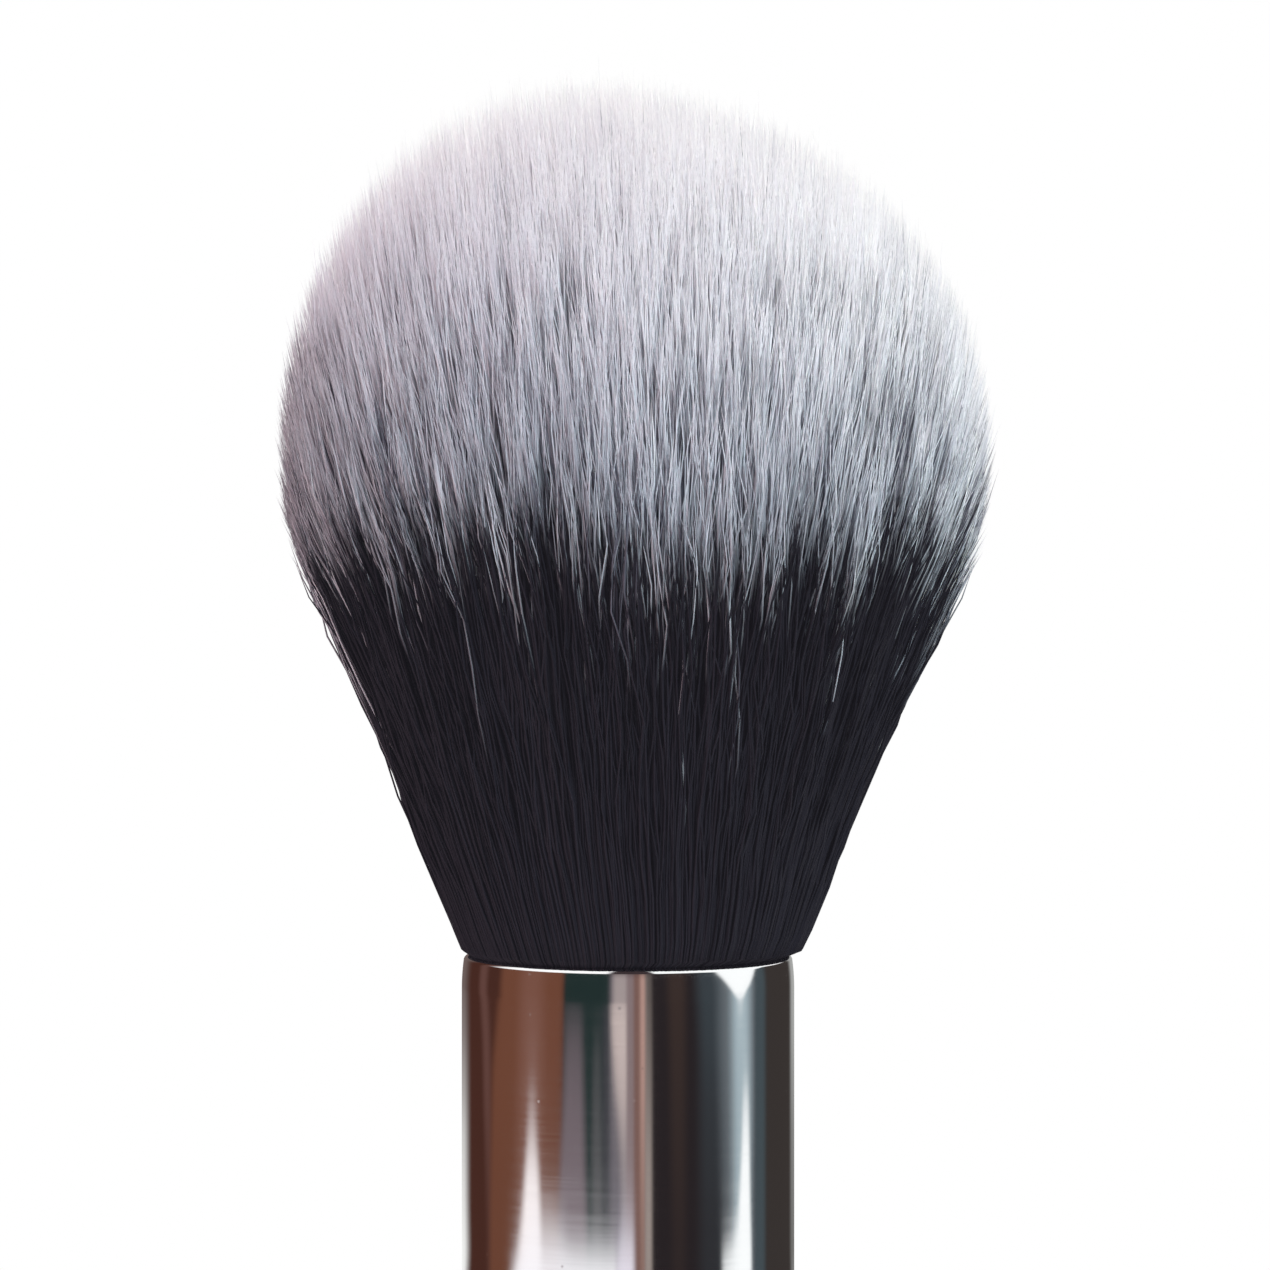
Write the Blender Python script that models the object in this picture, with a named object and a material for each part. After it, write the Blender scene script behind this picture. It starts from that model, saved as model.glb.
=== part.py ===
# Contour brush. A turned handle carries a crimped tube ferrule, and a glued and tied bundle of
# bristles fans out of the ferrule's mouth into a dome. The brush stands upright on its butt face,
# which is at zero height. All lengths are in metres.
import math

import bmesh
import bpy

# Clearances
seat_gap = 0.0003
winding_gap = 0.00005

# Ferrule: a thin tube, pressed in at two crimps near its lower edge and eased in at its mouth
ferrule_diameter = 0.0130
ferrule_length = 0.0380
ferrule_wall = 0.0004
mouth_ease_length = 0.0013
mouth_ease_depth = 0.0001
crimp_count = 2
first_crimp_rise = 0.0050
crimp_spacing = 0.0032
crimp_width = 0.0018
crimp_depth = 0.00045

# Handle: swell under the shoulder, waist, and a flared butt with a flat end
handle_length = 0.1050
shoulder_edge_radius = 0.0003
swell_diameter = 0.0138
swell_drop = 0.0130
waist_diameter = 0.0096
waist_height = 0.0360
butt_diameter = 0.0120
butt_edge_radius = 0.0012
tenon_edge_radius = 0.0004
nose_length = 0.0050

# Glue on the end of the tenon, glue around the bristle roots, and the thread that ties them
glue_wall = 0.0005
glue_thickness = 0.0010
epoxy_thickness = 0.0025
thread_diameter = 0.0005
thread_turns = 4
tie_rise = 0.0022

# Bristles: heights are above the mouth, depths below it
root_depth = 0.0130
neck_rise = 0.0025
spring_diameter = 0.0133
spring_height = 0.0010
head_height = 0.0341
head_diameter = 0.0279
belly_height = 0.0197
outer_tip_drop = 0.0040
inner_lock_count = 6
outer_lock_count = 12

# How finely round pieces are divided
turned_steps = 36
sealed_steps = 24
thread_steps = 20
grip_steps = 18
crimp_steps = 6
ease_steps = 4
edge_steps = 3
lip_steps = 4
tip_steps = 3
smooth_angle = math.radians(32)

# Colours, and the heights between which the bristles turn from dark to pale
lacquer_colour = (0.010, 0.010, 0.011)
plating_colour = (0.780, 0.770, 0.775)
glue_colour = (0.620, 0.420, 0.160)
thread_colour = (0.550, 0.530, 0.500)
root_colour = (0.012, 0.011, 0.014)
tip_colour = (0.820, 0.800, 0.830)
fade_start = 0.0135
fade_end = 0.0210

# Places that several pieces share
ferrule_base = handle_length + seat_gap
mouth_height = ferrule_base + ferrule_length
root_height = mouth_height - root_depth
epoxy_bottom = root_height - seat_gap - epoxy_thickness
glue_top = epoxy_bottom - seat_gap
tenon_top = glue_top - glue_thickness - seat_gap
nose_base = tenon_top - nose_length

# Radii that several pieces share
ferrule_radius = ferrule_diameter / 2
bore_radius = ferrule_radius - ferrule_wall
fill_radius = bore_radius - seat_gap
nose_radius = fill_radius - glue_wall - seat_gap
tied_radius = fill_radius - thread_diameter - seat_gap
throat_radius = fill_radius - mouth_ease_depth

# The thread's turns lie side by side around the tied roots
thread_pitch = thread_diameter + winding_gap
thread_low = tie_rise - thread_diameter / 2
thread_high = tie_rise + thread_turns * thread_pitch + thread_diameter / 2

# The dome is the upper part of an ellipsoid, and the outermost bristles end on it below its belly
belly_radius = head_diameter / 2
dome_rise = head_height - belly_height
outer_tip_height = belly_height - outer_tip_drop
outer_tip_radius = belly_radius * math.sqrt(1 - (outer_tip_drop / dome_rise) ** 2)
spring_radius = spring_diameter / 2
fan_slope = (outer_tip_radius - spring_radius) / outer_tip_height

# The bundle is split into locks with an equal share of the bristles each
lock_count = 1 + inner_lock_count + outer_lock_count
centre_rank = math.sqrt(1 / lock_count)
inner_rank = math.sqrt((1 + inner_lock_count) / lock_count)


def clear_scene():
    for old in list(bpy.data.objects):
        bpy.data.objects.remove(old)


def plain_material(name, colour, roughness, metallic):
    material = bpy.data.materials.new(name)
    material.use_nodes = True
    shader = material.node_tree.nodes["Principled BSDF"]
    shader.inputs["Base Color"].default_value = (*colour, 1)
    shader.inputs["Roughness"].default_value = roughness
    shader.inputs["Metallic"].default_value = metallic
    material.diffuse_color = (*colour, 1)
    return material


def bristle_material(name):
    # Dark at the root and pale at the tip, blended along the height above the mouth
    material = plain_material(name, root_colour, 0.6, 0)
    tree = material.node_tree
    place = tree.nodes.new("ShaderNodeTexCoord")
    split = tree.nodes.new("ShaderNodeSeparateXYZ")
    fade = tree.nodes.new("ShaderNodeMapRange")
    fade.inputs["From Min"].default_value = fade_start
    fade.inputs["From Max"].default_value = fade_end
    ramp = tree.nodes.new("ShaderNodeValToRGB")
    ramp.color_ramp.elements[0].color = (*root_colour, 1)
    ramp.color_ramp.elements[1].color = (*tip_colour, 1)
    tree.links.new(place.outputs["Object"], split.inputs["Vector"])
    tree.links.new(split.outputs["Z"], fade.inputs["Value"])
    tree.links.new(fade.outputs["Result"], ramp.inputs["Fac"])
    tree.links.new(ramp.outputs["Color"], tree.nodes["Principled BSDF"].inputs["Base Color"])
    return material


def add_piece(name, data, material, parent, height=0, turn=0):
    # Pieces stand on the brush's axis, lifted to their own height and turned about it
    piece = bpy.data.objects.new(name, data)
    bpy.context.scene.collection.objects.link(piece)
    if not data.materials:
        data.materials.append(material)
    piece.parent = parent
    piece.location = (0, 0, height)
    piece.rotation_euler = (0, 0, turn)
    return piece


def smooth(mesh):
    mesh.shade_smooth()
    mesh.set_sharp_from_angle(angle=smooth_angle)


def turned_mesh(name, outline, steps, closed=False):
    # An outline of (radius, height) points is spun about the vertical axis
    bm = bmesh.new()
    points = [bm.verts.new((radius, 0, height)) for radius, height in outline]
    for first, second in zip(points, points[1:]):
        bm.edges.new((first, second))
    if closed:
        bm.edges.new((points[-1], points[0]))
    bmesh.ops.spin(
        bm, geom=bm.verts[:] + bm.edges[:], axis=(0, 0, 1), angle=math.tau, steps=steps, use_merge=True
    )
    bmesh.ops.remove_doubles(bm, verts=bm.verts[:], dist=seat_gap / 100)
    bmesh.ops.recalc_face_normals(bm, faces=bm.faces[:])
    mesh = bpy.data.meshes.new(name)
    bm.to_mesh(mesh)
    bm.free()
    smooth(mesh)
    return mesh


def rounded_corner(radius, height, size, start, end, steps):
    # An arc about (radius, height), with angles counted from level outwards
    angles = [start + (end - start) * step / steps for step in range(steps + 1)]
    return [(radius + size * math.cos(angle), height + size * math.sin(angle)) for angle in angles]


def outer_edge(radius, height, size):
    # The round of an upper outer edge, from its flat top to its side
    return rounded_corner(radius - size, height - size, size, math.pi / 2, 0, edge_steps)


def crimp_centres():
    return [first_crimp_rise + crimp * crimp_spacing for crimp in range(crimp_count)]


def crimp_rises():
    # Heights above the ferrule's lower edge at which the crimps are drawn, highest first
    shares = [step / crimp_steps - 0.5 for step in range(crimp_steps + 1)]
    rises = [centre + share * crimp_width for centre in crimp_centres() for share in shares]
    return sorted(rises, reverse=True)


def pressed_depth(rise):
    # How far the wall is pressed in: a cosine dip at each crimp and a smooth ease at the mouth
    depth = 0
    for centre in crimp_centres():
        if abs(rise - centre) < crimp_width / 2:
            depth += crimp_depth * (1 + math.cos(math.tau * (rise - centre) / crimp_width)) / 2
    share = max(0, 1 - (ferrule_length - rise) / mouth_ease_length)
    return depth + mouth_ease_depth * share * share * (3 - 2 * share)


def grip_radius(height):
    # The handle's radius, eased between its butt, waist, swell and shoulder
    stations = [
        (0, butt_diameter / 2),
        (waist_height, waist_diameter / 2),
        (handle_length - swell_drop, swell_diameter / 2),
        (handle_length, ferrule_radius),
    ]
    for (low, low_radius), (high, high_radius) in zip(stations, stations[1:]):
        if height <= high:
            share = (1 - math.cos(math.pi * (height - low) / (high - low))) / 2
            return low_radius + share * (high_radius - low_radius)
    return ferrule_radius


def handle_outline():
    # Nose, tenon with its crimp grooves, shoulder, grip and butt, from top to bottom
    outline = [(0, tenon_top)]
    outline += outer_edge(nose_radius, tenon_top, tenon_edge_radius)
    outline += [(nose_radius, nose_base)]
    outline += outer_edge(fill_radius, nose_base, tenon_edge_radius)
    outline += [(fill_radius - pressed_depth(rise), ferrule_base + rise) for rise in crimp_rises()]
    outline += [(fill_radius, handle_length)]
    outline += outer_edge(ferrule_radius, handle_length, shoulder_edge_radius)
    grip_top = handle_length - shoulder_edge_radius
    for step in range(1, grip_steps):
        height = grip_top + (butt_edge_radius - grip_top) * step / grip_steps
        outline.append((grip_radius(height), height))
    flat_radius = grip_radius(butt_edge_radius) - butt_edge_radius
    outline += rounded_corner(
        flat_radius, butt_edge_radius, butt_edge_radius, 0, -math.pi / 2, edge_steps
    )
    outline += [(0, 0)]
    return outline


def ferrule_outline():
    # Down the outside, up the inside, and over the rounded lip of the mouth
    lip_radius = ferrule_wall / 2
    lip_base = ferrule_length - lip_radius
    ease_base = ferrule_length - mouth_ease_length
    rises = [lip_base + (ease_base - lip_base) * step / ease_steps for step in range(ease_steps + 1)]
    rises += crimp_rises()
    rises += [0]
    outer = [(ferrule_radius - pressed_depth(rise), rise) for rise in rises]
    inner = [(radius - ferrule_wall, rise) for radius, rise in reversed(outer)]
    lip_centre = outer[0][0] - lip_radius
    lip = rounded_corner(lip_centre, lip_base, lip_radius, math.pi, 0, lip_steps)
    return outer + inner + lip[1:-1]


def epoxy_outline():
    # A cup under and around the root ends, with its rim just under the thread
    floor = root_height - seat_gap
    rim = root_height + thread_low - seat_gap
    cup_radius = tied_radius + seat_gap
    return [
        (0, floor),
        (cup_radius, floor),
        (cup_radius, rim),
        (fill_radius, rim),
        (fill_radius, epoxy_bottom),
        (0, epoxy_bottom),
    ]


def glue_outline():
    # A cap over the tenon's nose
    skirt_radius = nose_radius + seat_gap
    skirt_base = nose_base + seat_gap
    underside = glue_top - glue_thickness
    outline = [(0, glue_top)]
    outline += outer_edge(fill_radius, glue_top, tenon_edge_radius)
    outline += [(fill_radius, skirt_base), (skirt_radius, skirt_base)]
    outline += [(skirt_radius, underside), (0, underside)]
    return outline


def thread_curve(name):
    # A helix around the tied roots, with its lowest turn at the tie's height above the root ends
    winding_radius = tied_radius + seat_gap + thread_diameter / 2
    curve = bpy.data.curves.new(name, "CURVE")
    curve.dimensions = "3D"
    curve.bevel_depth = thread_diameter / 2
    curve.bevel_resolution = 2
    curve.use_fill_caps = True
    spline = curve.splines.new("POLY")
    spline.points.add(thread_turns * thread_steps)
    for step, point in enumerate(spline.points):
        turns = step / thread_steps
        angle = math.tau * turns
        rise = tie_rise + thread_pitch * turns
        point.co = (winding_radius * math.cos(angle), winding_radius * math.sin(angle), rise, 1)
    spline.use_smooth = True
    return curve


def fan_radius(height):
    # The radius of the whole bundle where it fans, as if no bristle ended
    return spring_radius + fan_slope * height


def bundle_sections():
    # (height, radius) of the whole bundle from the root ends to just above the mouth
    tie_top = thread_high + seat_gap - root_depth
    return [
        (-root_depth, tied_radius),
        (tie_top, tied_radius),
        (tie_top + neck_rise, throat_radius),
        (0, throat_radius),
        (spring_height, fan_radius(spring_height)),
    ]


def tip_height(rank):
    # Where a bristle meets the dome: its straight line, at rank times the fan's radius, is put
    # into the ellipsoid's equation, and the upper of the two crossings is the tip
    across = rank / belly_radius
    square = (across * fan_slope) ** 2 + 1 / dome_rise**2
    linear = 2 * (across**2 * spring_radius * fan_slope - belly_height / dome_rise**2)
    constant = (across * spring_radius) ** 2 + (belly_height / dome_rise) ** 2 - 1
    return (math.sqrt(linear**2 - 4 * square * constant) - linear) / (2 * square)


def bristle_point(low_rank, high_rank, share, level):
    # Radius and height of a point of a lock that holds the ranks from low to high. The side that
    # faces another lock stands half a gap back from it.
    half_gap = seat_gap / 2
    sections = bundle_sections()
    low_gap = half_gap if low_rank > 0 else 0
    high_gap = half_gap if high_rank < 1 else 0
    if level < len(sections):
        height, reach = sections[level]
        low = low_rank * reach + low_gap
        high = high_rank * reach - high_gap
        return low + share * (high - low), height
    low = low_rank + low_gap / fan_radius(tip_height(low_rank))
    high = high_rank - high_gap / fan_radius(tip_height(high_rank))
    rank = low + share * (high - low)
    tip = tip_height(rank)
    tip_radius = rank * fan_radius(tip)
    base_radius, base = bristle_point(low_rank, high_rank, share, len(sections) - 1)
    climbed = (level - len(sections) + 1) / tip_steps
    return base_radius + climbed * (tip_radius - base_radius), base + climbed * (tip - base)


def sector_point(low_rank, high_rank, count, across, around, level):
    # A lock of a ring takes one of count equal sectors, with flat sides half a gap inside them
    radius, height = bristle_point(low_rank, high_rank, across, level)
    half_angle = math.pi / count - math.asin(seat_gap / 2 / radius)
    angle = half_angle * (2 * around - 1)
    return radius * math.cos(angle), radius * math.sin(angle), height


def disc_point(high_rank, across, around, level):
    # The centre lock is a square block whose rings of cells are drawn out into circles
    first = 2 * across - 1
    second = 2 * around - 1
    if abs(first) > abs(second):
        share = first
        angle = math.pi / 4 * second / first
    else:
        share = second
        angle = math.pi / 2 - (math.pi / 4 * first / second if second else 0)
    radius, height = bristle_point(0, high_rank, abs(share), level)
    radius = math.copysign(radius, share)
    return radius * math.cos(angle), radius * math.sin(angle), height


def lock_mesh(name, across_steps, around_steps, place):
    # A unit grid is extruded level by level into a block, and each corner goes to its place
    last_level = len(bundle_sections()) + tip_steps - 1
    bm = bmesh.new()
    bmesh.ops.create_grid(bm, x_segments=across_steps, y_segments=around_steps, size=0.5)
    top = bm.faces[:]
    for level in range(last_level):
        grown = bmesh.ops.extrude_face_region(bm, geom=top)["geom"]
        if level > 0:
            bmesh.ops.delete(bm, geom=top, context="FACES")
        top = [item for item in grown if isinstance(item, bmesh.types.BMFace)]
        risen = [item for item in grown if isinstance(item, bmesh.types.BMVert)]
        bmesh.ops.translate(bm, verts=risen, vec=(0, 0, 1))
    for corner in bm.verts:
        corner.co = place(corner.co.x + 0.5, corner.co.y + 0.5, round(corner.co.z))
    bmesh.ops.recalc_face_normals(bm, faces=bm.faces[:])
    mesh = bpy.data.meshes.new(name)
    bm.to_mesh(mesh)
    bm.free()
    smooth(mesh)
    return mesh


def build_handle(parent):
    lacquer = plain_material("black_lacquer", lacquer_colour, 0.16, 0)
    add_piece("handle", turned_mesh("handle", handle_outline(), turned_steps), lacquer, parent)


def build_ferrule(parent):
    plating = plain_material("bright_plating", plating_colour, 0.10, 1)
    mesh = turned_mesh("ferrule", ferrule_outline(), turned_steps, closed=True)
    add_piece("ferrule", mesh, plating, parent, height=ferrule_base)


def build_glue(parent):
    glue = plain_material("amber_glue", glue_colour, 0.25, 0)
    epoxy = turned_mesh("root_epoxy", epoxy_outline(), sealed_steps)
    cap = turned_mesh("tenon_glue", glue_outline(), sealed_steps)
    add_piece("root_epoxy", epoxy, glue, parent)
    add_piece("tenon_glue", cap, glue, parent)


def build_thread(parent):
    cotton = plain_material("waxed_thread", thread_colour, 0.8, 0)
    add_piece("binding_thread", thread_curve("binding_thread"), cotton, parent, height=root_height)


def build_locks(parent):
    hair = bristle_material("bristle")
    centre = lock_mesh(
        "centre_lock", 4, 4, lambda across, around, level: disc_point(centre_rank, across, around, level)
    )
    add_piece("centre_lock", centre, hair, parent, height=mouth_height)
    rings = [
        ("inner_lock", inner_lock_count, centre_rank, inner_rank, 2, 4),
        ("outer_lock", outer_lock_count, inner_rank, 1, 4, 3),
    ]
    for name, count, low, high, across_steps, around_steps in rings:
        mesh = lock_mesh(
            name,
            across_steps,
            around_steps,
            lambda across, around, level: sector_point(low, high, count, across, around, level),
        )
        for index in range(count):
            turn = math.tau * index / count
            add_piece(f"{name}_{index + 1:02d}", mesh, hair, parent, height=mouth_height, turn=turn)


def build_brush():
    clear_scene()
    brush = bpy.data.objects.new("contour_brush", None)
    bpy.context.scene.collection.objects.link(brush)
    build_handle(brush)
    build_ferrule(brush)
    build_glue(brush)
    build_thread(brush)
    build_locks(brush)


build_brush()
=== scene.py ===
import math

import bmesh
import bpy
import numpy as np
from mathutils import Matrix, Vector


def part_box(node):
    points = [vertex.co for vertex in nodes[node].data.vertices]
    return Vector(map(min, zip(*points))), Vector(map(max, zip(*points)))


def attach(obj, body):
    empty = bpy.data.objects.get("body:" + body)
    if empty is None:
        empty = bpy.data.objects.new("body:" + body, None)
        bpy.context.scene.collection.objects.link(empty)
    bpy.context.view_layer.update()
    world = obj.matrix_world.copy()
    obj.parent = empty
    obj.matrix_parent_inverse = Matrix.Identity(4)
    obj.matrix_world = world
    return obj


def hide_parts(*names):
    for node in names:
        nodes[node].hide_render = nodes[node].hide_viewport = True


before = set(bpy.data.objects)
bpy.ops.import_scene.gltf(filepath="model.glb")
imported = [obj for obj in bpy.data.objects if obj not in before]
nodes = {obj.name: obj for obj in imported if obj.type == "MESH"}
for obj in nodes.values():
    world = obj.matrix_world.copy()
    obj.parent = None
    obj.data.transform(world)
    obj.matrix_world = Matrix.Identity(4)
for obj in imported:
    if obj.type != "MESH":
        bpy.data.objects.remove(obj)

# Blender's own start-up objects aren't part of the model
for leftover in ("Cube", "Light", "Camera"):
    if leftover in bpy.data.objects:
        bpy.data.objects.remove(bpy.data.objects[leftover])
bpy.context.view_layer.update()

mm = 0.001
ferruleLow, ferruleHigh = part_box("ferrule")
ferruleRadius = (ferruleHigh.x - ferruleLow.x) / 2
ferruleLength = ferruleHigh.z - ferruleLow.z
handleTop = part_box("handle")[1].z
mouth = ferruleHigh.z
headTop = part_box("centre_lock")[1].z - mouth   # height of the dome above the mouth
print("frame loaded, mouth at", round(mouth, 4))


# Mesh helpers

def meshPiece(name, points, quads, tris=(), uv=None, smooth=True):
    # quads and tris are index arrays; uv holds one pair for each corner, quads first
    quads = np.asarray(quads, np.int32).reshape(-1, 4)
    tris = np.asarray(tris, np.int32).reshape(-1, 3)
    corners = np.concatenate([quads.ravel(), tris.ravel()])
    totals = np.concatenate([np.full(len(quads), 4), np.full(len(tris), 3)]).astype(np.int32)
    starts = np.concatenate([[0], np.cumsum(totals)[:-1]]).astype(np.int32)
    mesh = bpy.data.meshes.new(name)
    mesh.vertices.add(len(points))
    mesh.vertices.foreach_set("co", np.asarray(points, np.float32).ravel())
    mesh.loops.add(len(corners))
    mesh.loops.foreach_set("vertex_index", corners)
    mesh.polygons.add(len(totals))
    mesh.polygons.foreach_set("loop_start", starts)
    mesh.polygons.foreach_set("use_smooth", np.full(len(totals), smooth))
    if uv is not None:
        layer = mesh.uv_layers.new(name="OFBake")
        layer.uv.foreach_set("vector", np.asarray(uv, np.float32).ravel())
    mesh.update(calc_edges=True)
    mesh.validate()
    piece = bpy.data.objects.new(name, mesh)
    bpy.context.scene.collection.objects.link(piece)
    return piece


def gridQuads(rows, around, closed=False, flip=False):
    # Faces between the rows of a grid whose rows close on themselves. closed also joins the last
    # row to the first, and flip turns the faces over.
    i = np.arange(rows if closed else rows - 1)[:, None]
    j = np.arange(around)[None, :]
    nextRow, nextTurn = (i + 1) % rows, (j + 1) % around
    quads = np.stack([i * around + j, nextRow * around + j, nextRow * around + nextTurn,
                      i * around + nextTurn], -1).reshape(-1, 4)
    return quads[:, [0, 3, 2, 1]] if flip else quads


def turnedPoints(radius, height, around):
    # Point (i, j) is (r_i cos a_j, r_i sin a_j, z_i)
    angle = np.arange(around) * 2 * np.pi / around
    x = radius[:, None] * np.cos(angle)
    y = radius[:, None] * np.sin(angle)
    z = np.broadcast_to(height[:, None], x.shape)
    return np.stack([x, y, z], -1).reshape(-1, 3)


def turnedPiece(name, radius, height, around, closed):
    # A closed outline makes a ring-shaped tube, and an open one starts and ends in a pole on the axis
    points = turnedPoints(radius, height, around)
    quads = gridQuads(len(radius), around, closed)
    tris = ()
    if not closed:
        top, bottom = len(points), len(points) + 1
        points = np.vstack([points, [[0, 0, height[0]], [0, 0, height[-1]]]])
        turn, after = np.arange(around), (np.arange(around) + 1) % around
        last = (len(radius) - 1) * around
        tris = np.vstack([np.stack([turn, after, np.full(around, top)], -1),
                          np.stack([last + after, last + turn, np.full(around, bottom)], -1)])
    return meshPiece(name, points, quads, tris)


def cornerArc(radius, height, size, start, end, steps):
    # Points (radius + size cos a, height + size sin a), with a going from start to end
    angle = np.linspace(start, end, steps)
    return np.stack([radius + size * np.cos(angle), height + size * np.sin(angle)], -1)


def eased(x):
    # 3x^2 - 2x^3, held at 0 and 1
    x = np.clip(x, 0, 1)
    return x * x * (3 - 2 * x)


def arched(x):
    # sin(pi x): 0 at both ends, 1 halfway and 0 outside
    return np.sin(np.pi * np.clip(x, 0, 1))


def turned(x, y, angle):
    # The place (x, y), turned about the axis by an angle
    return x * np.cos(angle) - y * np.sin(angle), x * np.sin(angle) + y * np.cos(angle)


# Material helpers

def feed(tree, node, inputs):
    # Each socket gets a fixed value, or a link from another node's output
    for socket, value in inputs.items():
        if isinstance(value, bpy.types.NodeSocket):
            tree.links.new(value, node.inputs[socket])
        else:
            node.inputs[socket].default_value = value


def material(name, inputs):
    # A Principled material with these fixed values on its shader
    made = bpy.data.materials.new(name)
    made.use_nodes = True
    shader = made.node_tree.nodes["Principled BSDF"]
    feed(made.node_tree, shader, inputs)
    return made, made.node_tree, shader


def addNode(tree, kind, inputs=None, **settings):
    # A shader node with its settings first, because they decide which sockets it has
    node = tree.nodes.new("ShaderNode" + kind)
    for name, value in settings.items():
        setattr(node, name, value)
    feed(tree, node, inputs or {})
    return node


def mathNode(tree, operation, *values):
    # Each value is a number or another node's output
    return addNode(tree, "Math", dict(enumerate(values)), operation=operation).outputs[0]


def rampNode(tree, factor, stops):
    # stops are (position, colour) pairs
    ramp = addNode(tree, "ValToRGB", {0: factor})
    elements = ramp.color_ramp.elements
    while len(elements) < len(stops):
        elements.new(0.5)
    for element, (position, colour) in zip(elements, stops):
        element.position = position
        element.color = (*colour, 1)
    return ramp.outputs[0]


def ownPlace(tree, scale=None):
    # The object's own coordinates, as they are or multiplied along each axis
    place = addNode(tree, "TexCoord").outputs["Object"]
    if scale is None:
        return place
    return addNode(tree, "Mapping", {0: place, "Scale": scale}).outputs[0]


# Bristles

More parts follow.
